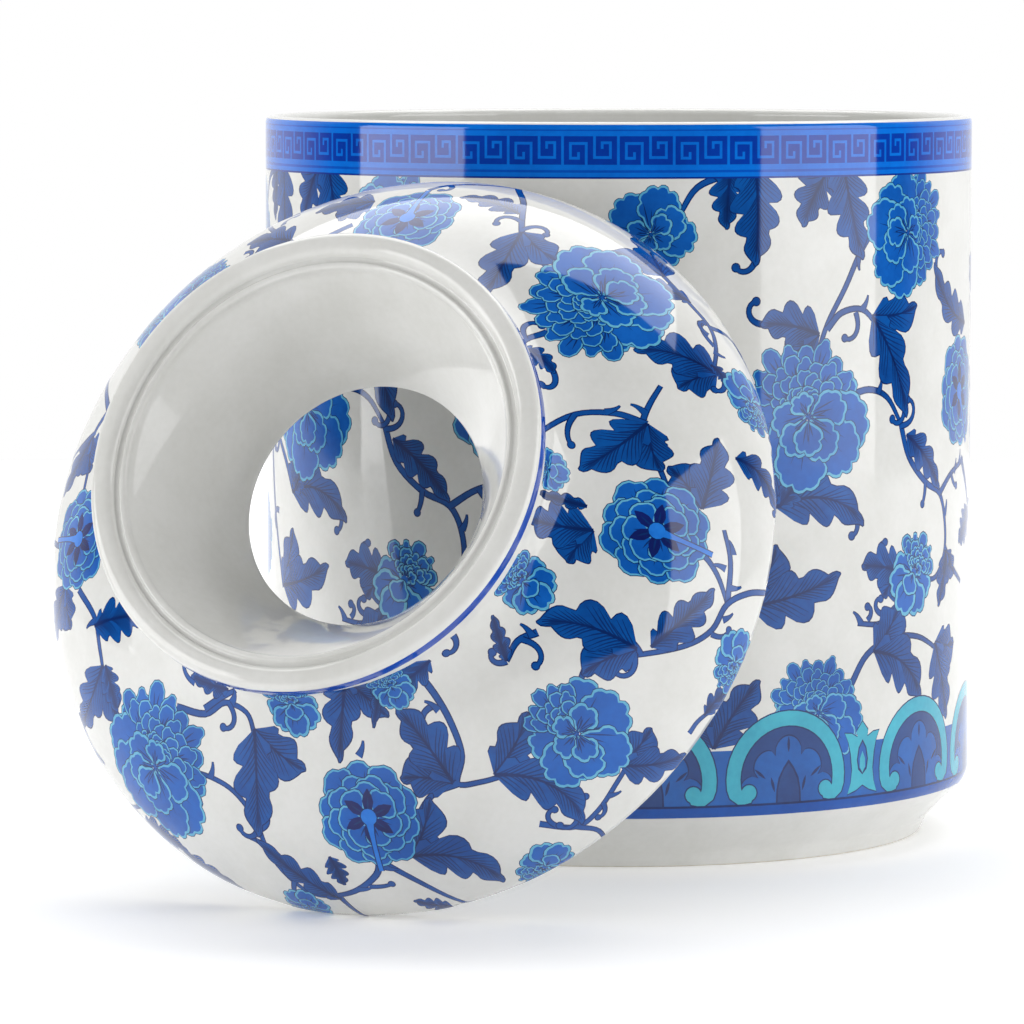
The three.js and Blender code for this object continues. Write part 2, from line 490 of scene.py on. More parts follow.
def field():
    """One repeat of the jar's vine, a quarter of the way round. x runs to the right, y is height."""
    grown = vine(FIELD_STEMS, FIELD_TENDRILS, FIELD_SPURS, FIELD_LEAVES)
    grown += placed(mallow(), 7, 138, 150, 0.78)
    grown += placed(peony(), 73, 137.5, -88, 0.86)
    grown += placed(peony(), 43, 98, 6, 1.0)
    grown += placed(star_flower(-60), 101, 101, 0, 1.02)
    grown += placed(small_flower(), 76, 62, -30, 1.25)
    grown += placed(mallow(), 8, 68, -30, 0.85)
    grown += placed(peony(), 46, 33.5, 4, 0.74)
    grown += placed(small_flower(), 122, 90, 30)
    return grown


ARCH_RADIUS = 13.1
ARCH_MIDDLE = 19.9
ARCH_THICKNESS = 3.2
ARCH_GAP = 0.44


def mirrored(points):
    """A closed shape from its right half, walked from the top down."""
    half = np.array(points, float)
    return np.vstack((half, (half * (-1, 1))[::-1]))


def arch():
    """A horseshoe arch with rolled ends, over a lobed fan. y is height on the jar."""
    inside = arc(0, ARCH_MIDDLE, ARCH_RADIUS, ARCH_RADIUS, -24, 204, 24)
    corner = ARCH_RADIUS - 0.6
    ground = np.array([(corner, FOOT_BAND_LOW)] + inside[1:-1] + [(-corner, FOOT_BAND_LOW)])
    a = np.radians(np.linspace(0, 180, 61))
    lobed = 12.4 + 2.0 * np.sin(a) ** 9 + 3.0 * (np.abs(np.sin(a * 5)) ** 0.5 - 1)
    fan = np.stack((lobed * np.cos(a) * 0.96, FOOT_BAND_LOW + lobed * np.sin(a)), 1)
    middle = np.array((0, FOOT_BAND_LOW + 4))
    shapes = [
        ("indigo", ground),
        ("ink", middle + (fan - middle) * 1.035),
        ("cobalt", fan),
        ("ink", mirrored(((0, 24), (1.3, 22.3), (2.5, 20), (3, 17.5), (3.1, FOOT_BAND_LOW)))),
        ("indigo", mirrored(((0, 23.2), (1.1, 21.8), (2.1, 19.7), (2.6, 17.4), (2.7, FOOT_BAND_LOW)))),
    ]
    for x, y, heading in ((-3.4, 17, 105), (3.4, 17, 75), (-5.6, 20, 140), (5.6, 20, 40), (0, 25.6, 90)):
        h = math.radians(heading)
        tip = (x + 3.4 * math.cos(h), y + 3.4 * math.sin(h))
        shapes.append(lens("ink", (x, y), tip, 0.7))
    roll = [(9.3, 17.2), (9.7, 15.9), (11.2, 15.7), (12.6, 17.0)]
    bow = [tuple(p) for p in arc(0, ARCH_MIDDLE, ARCH_RADIUS, ARCH_RADIUS, -8, 188, 22)]
    path = np.array(roll + bow + [(-x, y) for x, y in reversed(roll)])
    half = np.full(len(path), ARCH_THICKNESS / 2)
    half[[0, 1, 2, -3, -2, -1]] = (1.0, 1.15, 1.35, 1.35, 1.15, 1.0)
    for finish, grow in (("ink", 0.3), ("turquoise", 0.0)):
        shapes.append(ribbon(finish, path, half + grow))
        shapes += [round_spot(finish, side * 9.5, 17.1, 1.75 + grow, 16) for side in (-1, 1)]
    return shapes


def crest():
    """The small turquoise crest between two pairs of arches."""
    body = ((0, 30.9), (1.7, 28.9), (1.5, 27.5), (3.2, 28.4), (5.2, 28.6), (4.2, 26.6), (3.5, 24),
            (3.1, 20.5), (3.5, 17.6), (4.4, 15.2), (2.0, 15.9), (0, 17.0))
    centre = np.array((0, 23.0))
    outer = mirrored(body)
    reach = outer - centre
    grown = centre + reach * (1 + 0.32 / np.linalg.norm(reach, axis=1))[:, None]
    return [
        ("ink", grown),
        ("turquoise", outer),
        ("ink", mirrored(((0, 27.0), (1.2, 25.2), (1.7, 22.6), (1.3, 20.4), (0, 19.2)))),
        ("cobalt", mirrored(((0, 26.4), (0.9, 25), (1.35, 22.6), (1.0, 20.8), (0, 19.8)))),
        ("turquoise", mirrored(((0, 24.4), (0.75, 22.8), (0.8, 20.9), (0, 19.6)))),
    ]


FRET_LOW = 3.0
FRET_HEIGHT = 6.1
FRET_LINE = 0.58


def fret_pair(width):
    """One upright bar and the two square spirals after it."""
    def bar(x0, y0, x1, y1):
        x0, x1 = sorted((x0, x1))
        y0, y1 = sorted((y0, y1))
        w = FRET_LINE / 2
        left, right, bottom, top = x0 - w, x1 + w, y0 - w, y1 + w
        return ("band_light", np.array(((left, bottom), (right, bottom), (right, top), (left, top))))

    corners = ((5.1, 0), (5.1, 4.55), (1.7, 4.55), (1.7, 1.4), (3.45, 1.4), (3.45, 2.4))
    bars = [bar(0, 0, 0, FRET_HEIGHT)]
    for (x0, y0), (x1, y1) in zip(corners, corners[1:]):
        bars.append(bar(x0, y0, x1, y1))
        bars.append(bar(width - x0, FRET_HEIGHT - y0, width - x1, FRET_HEIGHT - y1))
    return bars


def bands(round_length):
    """The stripes at the jar's foot and rim, and the fret between the rim's stripes."""
    def stripe(finish, low, high):
        far = round_length / 2
        return (finish, np.array(((-far, low), (far, low), (far, high), (-far, high))))

    arches = []
    pair = round_length / ARCH_PAIRS
    gap = ARCH_GAP * pair
    for k in range(ARCH_PAIRS):
        x = (k - ARCH_PAIRS // 2) * pair + 7.0
        arches += placed(arch(), x, 0) + placed(arch(), x + gap, 0)
        arches += placed(crest(), x + (gap + pair) / 2, 0)
    fret_low = KEY_BAND_LOW + FRET_LOW
    fret_top = fret_low + FRET_HEIGHT
    rim = [
        stripe("ink", STRIPE_TOP, FOOT_BAND_LOW),
        stripe("stripe", STRIPE_LOW, STRIPE_TOP),
        stripe("band_line", KEY_BAND_LOW, JAR_HEIGHT),
        stripe("band_light", KEY_BAND_LOW + 0.4, KEY_BAND_LOW + 1.3),
        stripe("band_dark", KEY_BAND_LOW + 1.3, KEY_BAND_LOW + 1.85),
        stripe("band_light", KEY_BAND_LOW + 1.85, fret_low),
        stripe("fret", fret_low, fret_top),
        stripe("band_light", fret_top, fret_top + 1.1),
        stripe("band_dark", fret_top + 1.1, fret_top + 1.5),
        stripe("band_light", fret_top + 1.5, JAR_HEIGHT),
    ]
    width = round_length / FRET_PAIRS
    for k in range(FRET_PAIRS):
        rim += placed(fret_pair(width), (k - FRET_PAIRS // 2) * width, fret_low)
    return [stripe("cobalt", FOOT_BAND_LOW, FOOT_BAND_TOP)], arches + rim


# ---------------- the top's ornament, seen along its axis
# The layout is flat: the distance from the middle is the neck's radius and the way walked down the dome.

DOME_STEMS = (
    ((17, 95), (20, 88), (24, 80), (27, 70), (29, 65), (33, 60), (38, 56), (45, 53)),
    ((56, 73), (62, 67), (70, 61), (76, 56.5), (78.5, 50), (79, 42)),
    ((76, 56.5), (83, 60), (90, 55), (98, 45)),
    ((67, 12), (66, 20), (66.5, 25), (68, 31)),
    ((67, 20.3), (60, 21), (52, 18.5), (45, 11)),
    ((67, 20), (70, 13), (74, 6)),
    ((42, 38), (38, 33.5), (37, 27)),
    ((74, -3), (83, -6), (88, -10), (92, -16)),
    ((92, -16), (91, -6), (88, 1)),
    ((105, -9), (98, -11.5), (92, -16), (89, -23), (83, -28), (73, -32), (66, -33.5)),
    ((68, -33), (62, -36), (60, -43)),
    ((51, -31), (47, -33.5), (45, -38)),
    ((23, -38), (30, -46.5), (34, -53), (36, -59), (35, -65), (40, -64.3), (45, -62.5)),
    ((35, -65), (29.3, -68), (25, -74)),
    ((53, -73.5), (62, -74.5), (67, -70), (71, -62), (73, -57.5)),
    ((62, -74.5), (68, -76.5), (72, -83)),
    ((14.3, -74), (15, -85), (12, -90), (5, -94.5), (-4, -96), (-9, -92), (-13, -84),
     (-14.5, -76), (-19, -70),
     (-25, -67), (-32, -65.5)),
    ((2, -96), (5, -106)),
    ((-33, -52), (-25, -53.5), (-19, -51), (-13.5, -53), (-12, -58)),
    ((-25, -52.5), (-20, -50), (-15, -48)),
    ((-67, -24), (-60, -31), (-58, -38), (-57, -43)),
    ((-70, -13), (-82, -11), (-96, -4)),
    ((-84, -72), (-72.9, -75), (-61.4, -76.4), (-50, -74)),
    ((-74, -52), (-73, -60), (-67, -65)),
    ((-0.7, 82), (4, 87), (18, 92)),
    ((-13, 66), (-22, 60), (-30, 63), (-40, 71), (-48, 80)),
    ((-68, 20), (-72, 14), (-70, 6), (-70, -2)),
    ((-71, 15), (-84, 12)),
    ((-68, 20), (-78, 32), (-92, 50)),
    ((88.5, -49), (91, -45), (98, -40)),
    ((15, -84), (26, -92), (38, -104)),
)
DOME_TENDRILS = (
    (26.5, 71, 150, 8, 170), (28, 68, 50, 8, -170), (38, 34, 120, 8.5, -170), (78, 50, 150, 7.5, -60),
    (52, 18.5, -110, 8, 70), (73, -32, 125, 8, 130), (71.5, -32, -75, 8.5, -160),
    (48, -33, -10, 8, -150), (45, -38, -150, 5, -170), (33, -33, -50, 6, -150), (63, -74, 100, 8, -40),
    (68, -68, -60, 5, -120), (11, -92, 0, 6, 30), (-9, -92, -120, 8, 60), (-18, -51, -60, 8, -160),
    (-14, -78.5, 20, 8, 190), (-27, -47, 150, 7, -150), (89, -24, -10, 6, 100),
    (30, -49, -150, 7, 150), (76, 53, 170, 6, -170), (3, 86, -40, 6, -180), (-22, 60, -60, 5, 170),
    (-42, 61, 10, 5.5, -180), (-70, 14, -50, 6, 60), (-61, -76, -60, 6.5, -190),
    (-36, 71, 120, 6, -150), (34, 92, 90, 6, -190), (-75, -65, 60, 6.5, -180), (57, -74, 150, 6, -160),
)
DOME_SPURS = (
    (91.5, -4, 110), (91.5, -20, 30), (34, 58, 10), (40, 55, -20), (69, -66, 10), (16, -86, -20),
    (31, -50, 140), (69, 15, 20), (78, 48, 0), (92, -12, 10), (66, 23, 150), (-14, -82, 150),
    (50, -32, 130), (58, 20.8, 30), (-60, -32, 190), (-25, -67, 60), (-17, -51, 50), (13, -61, 60),
    (8, -93, 0), (62, -36, 10), (75, -59, 20), (90, -8, 170),
)
DOME_LEAVES = (
    (28, 67, -92, 23, 6, None, 6.2, True),
    (25, 74, 148, 17, -40, None, 4.6, False),
    (38, 31, -5, 9, 50, -150, 3.4, False),
    (80, 41, 172, 20, -38, None, 7.4, True),
    (78, 43, -10, 6, 70, -110, 2.4, False),
    (62, 67, 118, 22, -10, None, 6.4, True),
    (70, 62, 178, 13, -5, None, 4.0, False),
    (67, 20.5, -122, 19, 18, None, 6.8, True),
    (82, 4, 84, 19, -8, None, 6.6, True),
    (88, 20, 10, 19, 75, -60, 5.4, False),
    (60, -7, 186, 15, 6, None, 6.2, True),
    (58, -2, 178, 12, -8, None, 1.8, False),
    (75, -30, 48, 21, -10, None, 5.4, False),
    (72, -31, 158, 22, -40, None, 6.6, True),
    (45, -38, 112, 10, 0, None, 2.2, False),
    (34, -65, 124, 19, -14, None, 6.8, True),
    (43, -62.5, 8, 26, 92, -160, 7.0, True),
    (71, -58, 0, 19, -22, None, 6.2, True),
    (23, -83, 12, 25, 84, None, 7.0, True),
    (2, -97, 142, 24, 12, None, 4.6, False),
    (-12, -56.5, -90, 24, 16, -175, 7.2, True),
    (-17, -48, 172, 11, 14, None, 3.6, False),
    (-60, -33, 10, 19, 22, None, 6.0, False),
    (-57, -42, -128, 22, 36, None, 6.8, True),
    (-56, -42, -70, 11, 10, None, 4.2, False),
    (-74, -22, -130, 18, 30, None, 6.6, True),
    (-28, 62, 158, 17, -20, None, 6.4, True),
    (-12, 76, 178, 16, -22, None, 6.4, True),
    (-72, 14, -128, 17, 15, None, 6.0, True),
    (12, -43, -105, 20, -12, None, 5.0, True),
    (19, -42, -98, 13, 6, None, 1.8, False),
    (29, -39, -130, 12, 25, None, 4.4, False),
    (-47, 80, 60, 13, 20, None, 5.2, False),
    (-86, 45, -160, 14, 15, None, 5.6, True),
    (-58, -80, -18, 17, 14, None, 5.6, False),
    (-46, -88, -30, 19, 10, None, 5.0, False),
    (-84, -60, 100, 14, 20, None, 5.6, True),
    (3, -84, -70, 8, 20, None, 3.4, False),
    (30, -101, 160, 10, 10, None, 3.6, False),
    (98, 46, -70, 14, 20, None, 5.0, False),
    (92, -44, 60, 12, 40, -140, 4.0, False),
)
DOME_SMALL_FLOWERS = (
    (47, -21, 60, 0.95), (-1.5, -50.5, 10, 0.95), (48, 3.5, 95, 0.7), (21, -45.5, 30, 0.7),
    (55, -87, 150, 1.1), (98.5, -29, 175, 1.1), (90.5, 40, 215, 1.2), (-10, -102, 160, 1.0),
    (-48, 14, 60, 0.8), (-94, 18, 70, 1.1), (-64, 44, 50, 1.0), (48, 98, -20, 1.1),
    (-66, 82, 150, 1.0),
)


def dome_layout():
    grown = vine(DOME_STEMS, DOME_TENDRILS, DOME_SPURS, DOME_LEAVES)
    for x, y, turn, size in DOME_SMALL_FLOWERS:
        grown += placed(small_flower(), x, y, turn, size)
    for x, y, heading in ((73, -4, -8), (14.3, -74, -86), (-69, -12, 170), (0, 68.5, 92)):
        grown += placed(star_flower(heading), x, y, 0, 0.98)
    grown += placed(peony(), 51, 51, 138, 1.04)
    grown += placed(peony(), -42.5, -65, -42, 1.06)
    grown += placed(mallow(), 60.5, -51.5, 50, 1.0)
    grown += placed(mallow(), -54, 52, -20, 0.9)
    return grown


# ---------------- laying a layout into a surface

def inside(polygon, points):
    """Which points the polygon winds round."""
    x, y = points[:, 0], points[:, 1]
    winding = np.zeros(len(points), int)
    for (x0, y0), (x1, y1) in zip(polygon, np.roll(polygon, -1, axis=0)):
        if y0 != y1:
            left = x < (x1 - x0) * (y - y0) / (y1 - y0) + x0
            winding += left & (y0 <= y) & (y1 > y)
            winding -= left & (y0 > y) & (y1 <= y)
    return winding != 0


def finishes_at(points, shapes):
    """The finish that lies uppermost at each point."""
    order = np.argsort(points[:, 0])
    across = points[order, 0]
    top = np.full(len(points), -1)
    for k, (_, polygon) in enumerate(shapes):
        low, high = polygon.min(0), polygon.max(0)
        near = order[np.searchsorted(across, low[0]):np.searchsorted(across, high[0])]
        near = near[(points[near, 1] > low[1]) & (points[near, 1] < high[1])]
        if len(near):
            top[near[inside(polygon, points[near])]] = k
    names = np.array([finish for finish, _ in shapes] + ["white"])
    return names[top]


def snapped(places):
    return np.round(np.asarray(places, float) / GRAIN) * GRAIN


def charted(shapes, to_chart):
    """The shapes in chart places, with a copy a whole turn away of each that reaches over the seam."""
    laid = []
    for finish, points in shapes:
        flat = snapped(to_chart(points))
        for shift in (-2 * HALF_TURN, 0, 2 * HALF_TURN):
            moved = flat + (shift, 0)
            if moved[:, 0].max() > -HALF_TURN and moved[:, 0].min() < HALF_TURN:
                laid.append((finish, moved))
    return laid


def triangulated(chains, low, high):
    """The chart's triangles between two heights. They follow every chain of places."""
    corners, edges = [], []
    for chain, closed in chains:
        first = len(corners)
        corners += [Vector(p) for p in chain]
        count = len(chain)
        edges += [(first + k, first + (k + 1) % count) for k in range(count if closed else count - 1)]
    found, _, faces, *_ = delaunay_2d_cdt(corners, edges, [], 0, GRAIN / 8, False)
    points = snapped([tuple(p) for p in found])
    triangles = np.array([f for f in faces if len(f) == 3])
    corner = points[triangles]
    across, along = corner[:, 1] - corner[:, 0], corner[:, 2] - corner[:, 0]
    backwards = across[:, 0] * along[:, 1] < across[:, 1] * along[:, 0]
    triangles[backwards] = triangles[backwards][:, ::-1]
    middles = corner.mean(1)
    kept = (np.abs(middles[:, 0]) < HALF_TURN) & (middles[:, 1] > low) & (middles[:, 1] < high)
    return points, triangles[kept], middles[kept]


def laid_in(shapes, low, high, rows):
    """The chart cut along the shapes' visible edges: its places, its triangles and each one's finish."""
    low, high, *rows = snapped((low, high, *rows))
    uprights = np.linspace(-HALF_TURN, HALF_TURN, TURN_STEPS + 1)
    guides = [(((x, low), (x, high)), False) for x in uprights]
    guides += [(((-HALF_TURN, y), (HALF_TURN, y)), False) for y in (low, *rows, high)]
    shapes = [s for s in shapes if s[1][:, 1].max() > low and s[1][:, 1].min() < high]
    points, triangles, middles = triangulated([(p, True) for _, p in shapes] + guides, low, high)
    finish = finishes_at(middles, shapes)
    pairs = (triangles[:, (0, 1)], triangles[:, (1, 2)], triangles[:, (2, 0)])
    sides = np.sort(np.concatenate(pairs), axis=1)
    owner = np.tile(np.arange(len(triangles)), 3)
    order = np.lexsort((sides[:, 1], sides[:, 0]))
    sides, owner = sides[order], owner[order]
    same = (sides[1:] == sides[:-1]).all(1)
    differ = np.flatnonzero(same & (finish[owner[1:]] != finish[owner[:-1]]))
    visible = [(points[sides[k]], False) for k in differ]
    points, triangles, middles = triangulated(visible + guides, low, high)
    return points, triangles, finishes_at(middles, shapes)


# ---------------- pieces

class Piece:
    """Gathers one closed mesh in millimetres. start is the angle round it where the chart's x = 0 lies."""

    def __init__(self, start):
        self.start = start
        self.points, self.normals, self.turns, self.faces, self.finishes = [], [], [], [], []

    def add(self, turns, radii, heights, facing):
        """Points by their turn in chart units, and the outline's direction outward at each."""
        angle = np.asarray(turns) * math.pi / HALF_TURN + self.start
        first = len(self.points)
        radii, heights = (np.broadcast_to(v, angle.shape) for v in (radii, heights))
        out, up = (np.broadcast_to(v, angle.shape) for v in np.transpose(facing))
        self.points += list(zip(radii * np.cos(angle), radii * np.sin(angle), heights))
        self.normals += list(zip(out * np.cos(angle), out * np.sin(angle), up))
        self.turns += list(turns)
        return np.arange(first, len(self.points))

    def rows(self, points, finishes, before=None, after=None):
        """Turns an outline, with a finish for each stretch of it. Its ends may be rings made before."""
        facing = outward(points)
        whole_turn = np.linspace(-HALF_TURN, HALF_TURN, TURN_STEPS, endpoint=False)
        made = []
        for k, (radius, height) in enumerate(points):
            if k == 0 and before is not None:
                made.append(before)
            elif k == len(points) - 1 and after is not None:
                made.append(after)
            elif radius < 1e-6:
                made.append(self.add([0.0], 0, height, (0, 1 if facing[k][1] > 0 else -1)))
            else:
                made.append(self.add(whole_turn, radius, height, facing[k]))
        for low, high, finish in zip(made, made[1:], finishes):
            self.join(low, high, finish)
        return made

    def join(self, low, high, finish):
        """Joins two rings that run round from the seam, whatever the number of points in each."""
        i, j = (1 if len(ring) == 1 else 0 for ring in (low, high))
        while i < len(low) or j < len(high):
            a, b = low[i % len(low)], high[j % len(high)]
            next_low = self.next_turn(low, i)
            next_high = self.next_turn(high, j)
            both = next_low == next_high
            if next_low <= next_high:
                i += 1
            if next_high <= next_low:
                j += 1
            c, d = high[j % len(high)], low[i % len(low)]
            corners = (a, d, c, b) if both else (a, d, b) if c == b else (a, c, b)
            self.faces.append(tuple(int(k) for k in corners))
            self.finishes.append(finish)

    def next_turn(self, ring, k):
        if len(ring) == 1 or k >= len(ring):
            return math.inf
        return self.turns[ring[k + 1]] if k + 1 < len(ring) else HALF_TURN

    def inlay(self, points, triangles, finishes, surface, flip=False):
        """Adds a laid-in chart and returns the rings at its lower and upper edges. surface gives the
        radius, the height and the direction outward at chart heights."""
        x = np.where(points[:, 0] >= HALF_TURN, -HALF_TURN, points[:, 0])
        key = np.round(np.stack((x, points[:, 1]), 1) / GRAIN).astype(np.int64)
        used = np.unique(triangles)
        _, first, merged = np.unique(key[used], axis=0, return_index=True, return_inverse=True)
        first = used[first]
        index = np.zeros(len(points), int)
        radii, heights, facing = surface(points[first, 1])
        index[used] = self.add(x[first], radii, heights, facing)[merged.reshape(-1)]
        laid = index[triangles[:, ::-1] if flip else triangles]
        whole = (laid[:, 0] != laid[:, 1]) & (laid[:, 1] != laid[:, 2]) & (laid[:, 2] != laid[:, 0])
        self.faces += [tuple(corners) for corners in laid[whole].tolist()]
        self.finishes += list(finishes[whole])
        rings = []
        for edge in (points[used, 1].min(), points[used, 1].max()):
            ring = np.unique(index[used[points[used, 1] == edge]])
            rings.append(ring[np.argsort([self.turns[k] for k in ring])])
        return rings

    def mesh_object(self, name, matrix, materials):
        mesh = bpy.data.meshes.new(name)
        mesh.from_pydata([tuple(c * MM for c in p) for p in self.points], [], self.faces)
        used = sorted(set(self.finishes))
        for finish in used:
            mesh.materials.append(materials[finish])
        slot_of = {finish: k for k, finish in enumerate(used)}
        mesh.polygons.foreach_set("material_index", [slot_of[f] for f in self.finishes])
        mesh.polygons.foreach_set("use_smooth", [True] * len(self.faces))
        mesh.transform(matrix)
        turn = np.array(matrix.to_3x3())
        mesh.normals_split_custom_set_from_vertices((np.array(self.normals) @ turn.T).tolist())
        mesh.update()
        piece = bpy.data.objects.new(name, mesh)
        bpy.context.scene.collection.objects.link(piece)
        return piece


def jar_piece():
    foot_top = FOOT_RADIUS + FOOT_FLARE
    foot_inside = FOOT_RADIUS - FOOT_RING_WIDTH
    inner = JAR_RADIUS - JAR_WALL
    wall = outline(
        bend(BEVEL_END, (JAR_RADIUS, BEVEL_END[1] + JAR_RADIUS - BEVEL_END[0]), (JAR_RADIUS, WALL_START), 24),
        line((JAR_RADIUS, JAR_HEIGHT - RIM_DROP)),
    )
    facing = outward(wall)
    facing[-1] = (1, 0)
    wall_low, wall_top = snapped((CHART_LOW, JAR_HEIGHT - RIM_DROP))

    def surface(heights):
        known = (wall[:, 0], facing[:, 0], facing[:, 1])
        radius, out, up = (np.interp(heights, wall[:, 1], v) for v in known)
        return radius, heights, np.stack((out, up), 1)

    round_length = 2 * math.pi * JAR_RADIUS
    under, over = bands(round_length)
    quarter = field()
    vine = []
    for k in range(FIELD_REPEATS):
        vine += placed(quarter, (k - FIELD_REPEATS // 2) * round_length / FIELD_REPEATS, 0)
    shapes = charted(under + vine + over, lambda p: p * (2 * HALF_TURN / round_length, 1))
    piece = Piece(-math.pi / 2)
    low, high = piece.inlay(*laid_in(shapes, wall_low, wall_top, (*BEVEL_ROWS, WALL_START)), surface)

    underside = outline(
        line((0, FOOT_RECESS), (foot_inside - FOOT_EDGE, FOOT_RECESS)),
        line((foot_inside, FOOT_RECESS - FOOT_EDGE), (foot_inside, FOOT_EDGE)),
        arc(foot_inside + FOOT_EDGE, FOOT_EDGE, FOOT_EDGE, FOOT_EDGE, 180, 270, 3),
        arc(FOOT_RADIUS - FOOT_EDGE, FOOT_EDGE, FOOT_EDGE, FOOT_EDGE, -90, 0, 3),
    )
    bevel = outline(
        line((FOOT_RADIUS, FOOT_EDGE)),
        bend((foot_top, FOOT_HEIGHT), BEVEL_PULL, BEVEL_START, 6),
        bend(BEVEL_START, BEVEL_MIDDLE, BEVEL_END, 4),
        wall[1:][wall[1:, 1] < wall_low],
        line((np.interp(wall_low, wall[:, 1], wall[:, 0]), wall_low)),
    )
    rim_start = JAR_HEIGHT - RIM_DROP
    rim = arc(JAR_RADIUS - JAR_WALL / 2, rim_start, JAR_WALL / 2, RIM_DROP, 0, 180, 18)
    inside_walls = outline(
        rim,
        arc(inner - FLOOR_CORNER, FLOOR_HEIGHT + FLOOR_CORNER, FLOOR_CORNER, FLOOR_CORNER, 0, -90, 14),
        line((0, FLOOR_HEIGHT)),
    )
    flat_foot = [max(a[1], b[1]) < 0.4 for a, b in zip(underside, underside[1:])]
    ring = piece.rows(underside, ["bisque" if flat else "white" for flat in flat_foot])[-1]
    piece.rows(bevel, ["white"] * (len(bevel) - 1), before=ring, after=low)
    plain_steps = len(inside_walls) - 1 - RIM_BLUE_STEPS
    piece.rows(inside_walls, ["band_light"] * RIM_BLUE_STEPS + ["white"] * plain_steps, before=high)
    return piece


def top_piece():
    ring_inside = RING_RADIUS - RING_WIDTH
    shell = BELLY_RADIUS - SHELL_WALL
    shoulder_top = BELLY_HEIGHT + DOME_RISE * math.sqrt(1 - (SHOULDER_END / BELLY_RADIUS) ** 2)
    slope = (DOME_RISE / BELLY_RADIUS) ** 2 * (SHOULDER_END / (shoulder_top - BELLY_HEIGHT))
    shoulder_pull = (NECK_RADIUS, shoulder_top + slope * (SHOULDER_END - NECK_RADIUS))
    seat_round = BELLY_RADIUS - SEAT_RADIUS
    dome = outline(
        arc(SEAT_RADIUS, BELLY_HEIGHT, seat_round, BELLY_HEIGHT, -50, 0, 6),
        arc(0, BELLY_HEIGHT, BELLY_RADIUS, DOME_RISE, 0, turn_at(SHOULDER_END, BELLY_RADIUS), 60),
        bend((SHOULDER_END, shoulder_top), shoulder_pull, (NECK_RADIUS, NECK_HEIGHT), 24),
    )
    facing = outward(dome)
    steps = np.linalg.norm(np.diff(dome, axis=0), axis=1)
    walked = np.concatenate((np.cumsum(steps[::-1])[::-1], (0,)))

    def surface(down):
        known = (dome[:, 0], dome[:, 1], facing[:, 0], facing[:, 1])
        radius, height, out, up = (np.interp(down, walked[::-1], v[::-1]) for v in known)
        return radius, height, np.stack((out, up), 1)

    def to_chart(plan):
        turn = np.unwrap(np.arctan2(plan[:, 1], plan[:, 0]))
        return np.stack((turn * HALF_TURN / math.pi, np.hypot(*plan.T) - NECK_RADIUS), 1)

    rows = np.arange(DOME_RING_STEP, walked[0] - 1, DOME_RING_STEP)
    piece = Piece(0)
    shapes = charted(dome_layout(), to_chart)
    high, low = piece.inlay(*laid_in(shapes, 0, walked[0], rows), surface, flip=True)

    crotch_turn = turn_at(CROTCH[0] + CROTCH_FILLET, shell)
    neck = outline(
        line((NECK_RADIUS, NECK_HEIGHT)),
        bend((NECK_RADIUS, LIP_UNDERSIDE - 3.5), (NECK_RADIUS, LIP_UNDERSIDE - LIP_FLARE),
             (LIP_RADIUS - 0.5, LIP_UNDERSIDE - 0.25), 8),
        line((LIP_RADIUS, LIP_UNDERSIDE + 0.25)),
        line((LIP_RADIUS, LIP_SHOULDER - 0.2)),
        bend((LIP_RADIUS, LIP_SHOULDER), (LIP_RADIUS, LIP_TOP), (LIP_CREST, LIP_TOP), 12),
        bend((LIP_CREST, LIP_TOP), (LIP_CREST - LIP_ROUNDING, LIP_TOP), GROOVE, 10),
        bend((RIDGE[0] + RIDGE_SLOPE, GROOVE[1]), (RIDGE[0] + 0.3, RIDGE[1] + 0.1), RIDGE, 4),
        bend(RIDGE, (FUNNEL_MOUTH[0] + 0.2, RIDGE[1]), FUNNEL_MOUTH, 5),
        bend(FUNNEL_MOUTH, FUNNEL_PULL, (HOLE_RADIUS, HOLE_HEIGHT), 30),
        arc(HOLE_RADIUS + FUNNEL_WALL / 2, HOLE_HEIGHT, FUNNEL_WALL / 2, FUNNEL_WALL / 2, -180, 0, 12),
        bend((HOLE_RADIUS + FUNNEL_WALL, HOLE_HEIGHT), FUNNEL_OUTSIDE_PULL, CROTCH, 12),
        arc(0, BELLY_HEIGHT, shell, DOME_RISE - SHELL_WALL, crotch_turn, 0, 30),
        line((ring_inside, -RING_EDGE)),
        arc(ring_inside + RING_EDGE, RING_EDGE - RING_DEPTH, RING_EDGE, RING_EDGE, 180, 270, 3),
        arc(RING_RADIUS - RING_EDGE, RING_EDGE - RING_DEPTH, RING_EDGE, RING_EDGE, -90, 0, 3),
        line((RING_RADIUS, 0)),
        arc(SEAT_RADIUS, BELLY_HEIGHT, seat_round, BELLY_HEIGHT, -90, -50, 3),
    )
    finishes = []
    for (r0, h0), (r1, h1) in zip(neck, neck[1:]):
        outside = min(r0, r1) > LIP_RADIUS - 0.6
        seat = max(h0, h1) < 0.3 and min(r0, r1) > ring_inside
        on_lip = outside and LIP_UNDERSIDE - 0.3 < min(h0, h1) and max(h0, h1) < LIP_SHOULDER + 0.1
        finishes.append("lip_line" if on_lip else "bisque" if seat else "white")
    piece.rows(neck, finishes, before=high, after=low)
    return piece


# ---------------- finishes

RIPPLE_SCALE = 90.0
RIPPLE_STRENGTH = 0.05
RIPPLE_DEPTH = 0.0006


